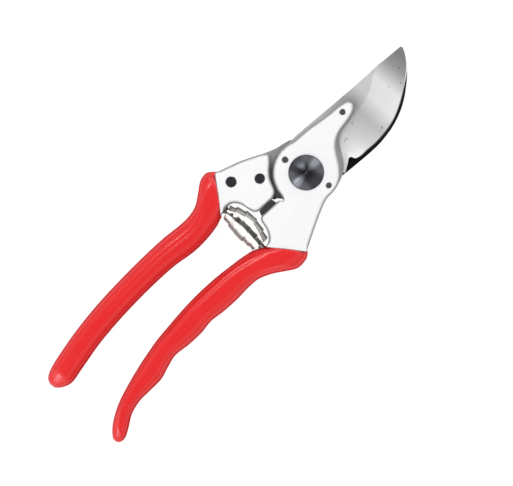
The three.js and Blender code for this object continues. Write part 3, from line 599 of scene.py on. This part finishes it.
def grip(name, rows, material, ridge_at, ridge_span, horn_high):
    """A dipped sleeve: outside from its closed end to the mouth, a rolled lip, and the wall inside.

    A fine moulding ridge runs along the top and the underside, at ridge_at (from -1 on the near edge to
    1 on the far edge), between two shares of the length. The mouth's far corner stands up by horn_high.
    """
    half_sides, steps, lip_steps, socket_steps = 110, 230, 7, 40
    power, lip, ridge_high, ridge_wide = 2.6, 1.05, 0.26, 0.08
    ridge_fade_in, ridge_fade_out = 0.1, 0.2     # shares of the length
    horn_from, horn_curve, horn_fade = 0.72, 1.5, 25
    socket_end = 0.93
    across = np.cos(np.pi * np.arange(2 * half_sides) / half_sides)
    up = np.maximum(1 - np.abs(across) ** power, 0) ** (1 / power)
    up[half_sides:] *= -1

    def ring(t, inset, forward=0.0):
        far_x, far_y, near_x, near_y, half = catmull_rom(rows, np.array([t]))[0]
        middle = np.array([far_x + near_x, far_y + near_y]) / 2
        reach = np.array([far_x - near_x, far_y - near_y]) / 2
        unit = reach / np.linalg.norm(reach)
        ahead = np.array([-unit[1], unit[0]])
        ahead = ahead if ahead[1] > 0 else -ahead
        reach = reach - unit * inset
        corner = np.clip((across - horn_from) / (1 - horn_from), 0, 1) ** horn_curve
        horn = horn_high * corner * max(0.0, 1 - horn_fade * t)
        plan = middle + (forward + horn)[:, None] * ahead + across[:, None] * reach
        start, end = ridge_span
        fade = min(1.0, (t - start) / ridge_fade_in, (end - t) / ridge_fade_out)
        strength = max(0.0, fade) if not inset else 0.0
        ridge = ridge_high * strength * np.exp(-(((across - ridge_at) / ridge_wide) ** 2))
        heights = up * (half - inset) + np.sign(up) * (ridge - ridge_high * strength)
        return np.column_stack([plan, GRIP_MID + heights])

    rings = [ring(t, 0) for t in np.linspace(1, 0, steps)]
    rings += [ring(0, lip / 2 * (1 - math.cos(a)), lip / 2 * math.sin(a))
              for a in np.linspace(0, math.pi, lip_steps)[1:-1]]
    rings += [ring(t, lip) for t in np.linspace(0, socket_end, socket_steps)]
    points = np.concatenate(rings)
    piece = new_piece(name, points, ring_faces(len(rings), 2 * half_sides), material, 80)
    outward(piece)
    return piece


# ---------------------------------------------------------------- volute spring
def volute_spring(material):
    """A flat strip wound as a barrel on a slightly bent axis; its turns slide inside each other.

    Turns are counted from the middle of the barrel: negative to the left seat, positive to the right.
    """
    start, end = np.array([-15.7, -35.55]), np.array([5.4, -37.3])
    bend = math.radians(23.8)
    turns, dead, mid_radius, width, thick = 5, 0.5, 5.75, 5.2, 0.5
    left_end, right_end = (2.8, 1.3, 0.14), (3.8, 1.0, 0.04)     # end radius, bulge, lean of the strip
    steps, corner = 72 * turns, 0.17
    length = np.linalg.norm(end - start)
    chord = math.atan2(*(end - start)[::-1])
    side = np.array([-math.sin(chord), math.cos(chord)])
    half, travel, mid_travel = turns / 2, (length - width) / 2, width / 2 + 0.1
    w, h = width / 2, thick / 2
    corners = []
    for cx, cy, first in ((w - corner, h - corner, 0), (-w + corner, h - corner, 90),
                          (-w + corner, -h + corner, 180), (w - corner, -h + corner, 270)):
        for a in (first, first + 30, first + 60, first + 90):
            corners.append((cx + corner * math.cos(math.radians(a)),
                            cy + corner * math.sin(math.radians(a))))
    points = []
    for i in range(steps + 1):
        turn = -half + turns * i / steps
        away = min(abs(turn), half - dead)
        out = (2 * away * mid_travel if away < 0.5
               else mid_travel + (away - 0.5) / (half - dead - 0.5) * (travel - mid_travel))
        end_radius, bulge, lean = left_end if turn < 0 else right_end
        radius = mid_radius + (end_radius - mid_radius) * (abs(turn) / half) ** bulge
        tilt = lean * max(-1, min(1, 2 * turn))
        angle = 2 * math.pi * turn + math.pi / 2
        for wide, off in corners:
            s = math.copysign(out, turn) + wide
            share = 0.5 + s / length
            rise = length * math.tan(bend / 4) / 2 * (1 - (2 * share - 1) ** 2)
            centre = start + (end - start) * share + side * rise
            heading = chord - bend * s / length
            r = radius - tilt * wide + off
            points.append((centre[0] - math.sin(heading) * r * math.cos(angle),
                           centre[1] + math.cos(heading) * r * math.cos(angle),
                           SEAT_MID + r * math.sin(angle)))
    piece = new_piece("volute_coil", points, ring_faces(steps + 1, len(corners)), material, 40)
    outward(piece)
    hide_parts("volute_spring")
    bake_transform(piece)


# ---------------------------------------------------------------- small round parts
def rivet(node, name, material, body):
    """A flush rivet: its CAD cylinder, rounder, with a fine chamfer at each end."""
    edge, sides, smooth_angle = 0.18, 64, 25
    low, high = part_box(node)
    cx, cy = (low.x + high.x) / 2 / MM, (low.y + high.y) / 2 / MM
    radius, bottom, top = (high.x - low.x) / 2 / MM, low.z / MM, high.z / MM
    profile = [(0, bottom), (radius - edge, bottom), (radius, bottom + edge), (radius, top - edge),
               (radius - edge / 3, top - edge / 3), (radius - edge, top), (0, top)]
    placed(turned(name, profile, (cx, cy), material, sides, smooth_angle), node, body)


def bolt(material, body):
    """The pivot bolt: a low dome with a small centre dimple and a thin upright rim."""
    low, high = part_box("pivot_bolt")
    head, top, bottom = (high.x - low.x) / 2 / MM, high.z / MM, low.z / MM
    rim_high, shank, sides, smooth_angle = 0.35, 4.0, 128, 40
    rim, rise = FRONT + rim_high, top - FRONT - rim_high
    dome = [(head - 0.2, rim + 0.02)]
    dome += [(head * s, rim + rise * (1 - s * s)) for s in np.linspace(0.965, 0.07, 26)]
    dimple = [(0.4, top - 0.06), (0, top - 0.2)]
    profile = [(0, bottom), (shank - 0.6, bottom), (shank, bottom + 0.6), (shank, FRONT + 0.05),
               (head - 0.15, FRONT + 0.05), (head, FRONT + 0.2), (head, rim - 0.15), *dome, *dimple]
    piece = turned("bolt_dome", profile, (0, 0), material, sides, smooth_angle)
    placed(piece, "pivot_bolt", body)


def stop_pad(material):
    """The rubber stop, wider than its loose CAD shape, so that it fills the slot between the castings."""
    rounding, segments, wider, half_pad = 0.4, 3, 0.17, 1.3
    slot_x, slot_y, slot_lean = -2.74, -19, 0.124            # a point on the slot's middle, and its slope
    piece = bevelled("bumper", "rubber_stop", material, rounding, segments)
    for corner in piece.data.vertices:
        x, y = corner.co.x / MM, corner.co.y / MM
        off = x - slot_x - slot_lean * (y - slot_y)
        if abs(off) < half_pad:
            corner.co.x += math.copysign(wider, off) * MM
    piece.data.update()
    placed(piece, "bumper", "blade_handle")


# ---------------------------------------------------------------- build
bpy.context.scene.view_settings.view_transform = "Standard"
make_camera()
make_world()
make_floor()
area_light("fill", (-0.40, 0.17, 0.66), (0.32, 0.09), 0.66)
area_light("end", (-0.12, -0.52, 0.60), (0.11, 0.09), 0.32)

ALUMINIUM, VINYL, STEEL, HOOK = aluminium(), vinyl(), blade_steel(), hook_steel()
DARK = dark_steel("dark_steel", (0.035, 0.037, 0.042), (0.06, 0.062, 0.068))
PIN = dark_steel("pin_steel", (0.085, 0.088, 0.092), (0.14, 0.143, 0.148))
TURNED, NICKEL, RUBBER = turned_steel(), nickel(), rubber()

MOUTH_KEEP = 1.5                                 # how far round a grip's mouth the casting stays crisp
CHIN_TIP = (-0.5, -16, 0.3, -15.8, 0.8)          # the thin tip above the rubber stop
BLADE_FLAT, BLADE_SMOOTH = 0.02, 7               # degrees: joined as flat, and shaded as one surface

left_keep = [round_place(f"hook_rivet_{k}") for k in (1, 2)]
left_keep += [round_place("catch_screw"), (*LEFT_HANDLE[0][:4], MOUTH_KEEP)]
right_keep = [round_place(f"blade_pin_{k}") for k in (1, 2, 3)]
right_keep += [round_place("pivot_bolt"), round_place("catch_pin"),
               (*RIGHT_HANDLE[0][:4], MOUTH_KEEP), CHIN_TIP]
placed(cast("left_casting", "left_forging", ALUMINIUM, left_keep), "left_casting", "hook_handle")
placed(cast("right_casting", "right_forging", ALUMINIUM, right_keep), "right_casting", "blade_handle")
placed(grip("left_sleeve", LEFT_HANDLE, VINYL, 0.0, (0.1, 0.75), 1.5), "left_grip", "hook_handle")
placed(grip("right_sleeve", RIGHT_HANDLE, VINYL, -0.66, (0.06, 0.95), 0.4), "right_grip",
       "blade_handle")
cutting_blade = copy_of("blade", "cutting_blade", STEEL, BLADE_FLAT)
smooth(cutting_blade, BLADE_SMOOTH)
placed(cutting_blade, "blade", "blade_handle")
placed(bevelled("hook", "counter_blade", HOOK, 0.25, 3), "hook", "hook_handle")
stop_pad(RUBBER)
# node, piece, material, width and segments of its rounded edges, body, slot
for part, title, material, rounding, segments, body, slot in (
        ("pivot_nut", "toothed_nut", DARK, 0.12, 2, "hook_handle", "dark_steel"),
        ("nut_lock_segment", "lock_plate", NICKEL, 0.15, 2, "hook_handle", "nickel"),
        ("thumb_catch", "catch_lever", DARK, 0.25, 3, "catch", "dark_steel"),
        ("segment_screw", "small_screw", DARK, 0.12, 2, "hook_handle", "dark_steel"),
        ("catch_screw", "shoulder_screw", DARK, 0.15, 2, "hook_handle", "dark_steel"),
        ("pivot_washer", "thin_washer", NICKEL, 0.08, 2, "hook_handle", "nickel"),
        ("catch_washer", "spring_washer", NICKEL, 0.06, 2, "hook_handle", "nickel")):
    placed(bevelled(part, title, material, rounding, segments), part, body)
for number in (1, 2):
    rivet(f"hook_rivet_{number}", f"large_rivet_{number}", DARK, "hook_handle")
for number in (1, 2, 3):
    rivet(f"blade_pin_{number}", f"small_rivet_{number}", PIN, "blade_handle")
rivet("catch_pin", "stop_pin", DARK, "blade_handle")
bolt(TURNED, "hook_handle")
volute_spring(NICKEL)
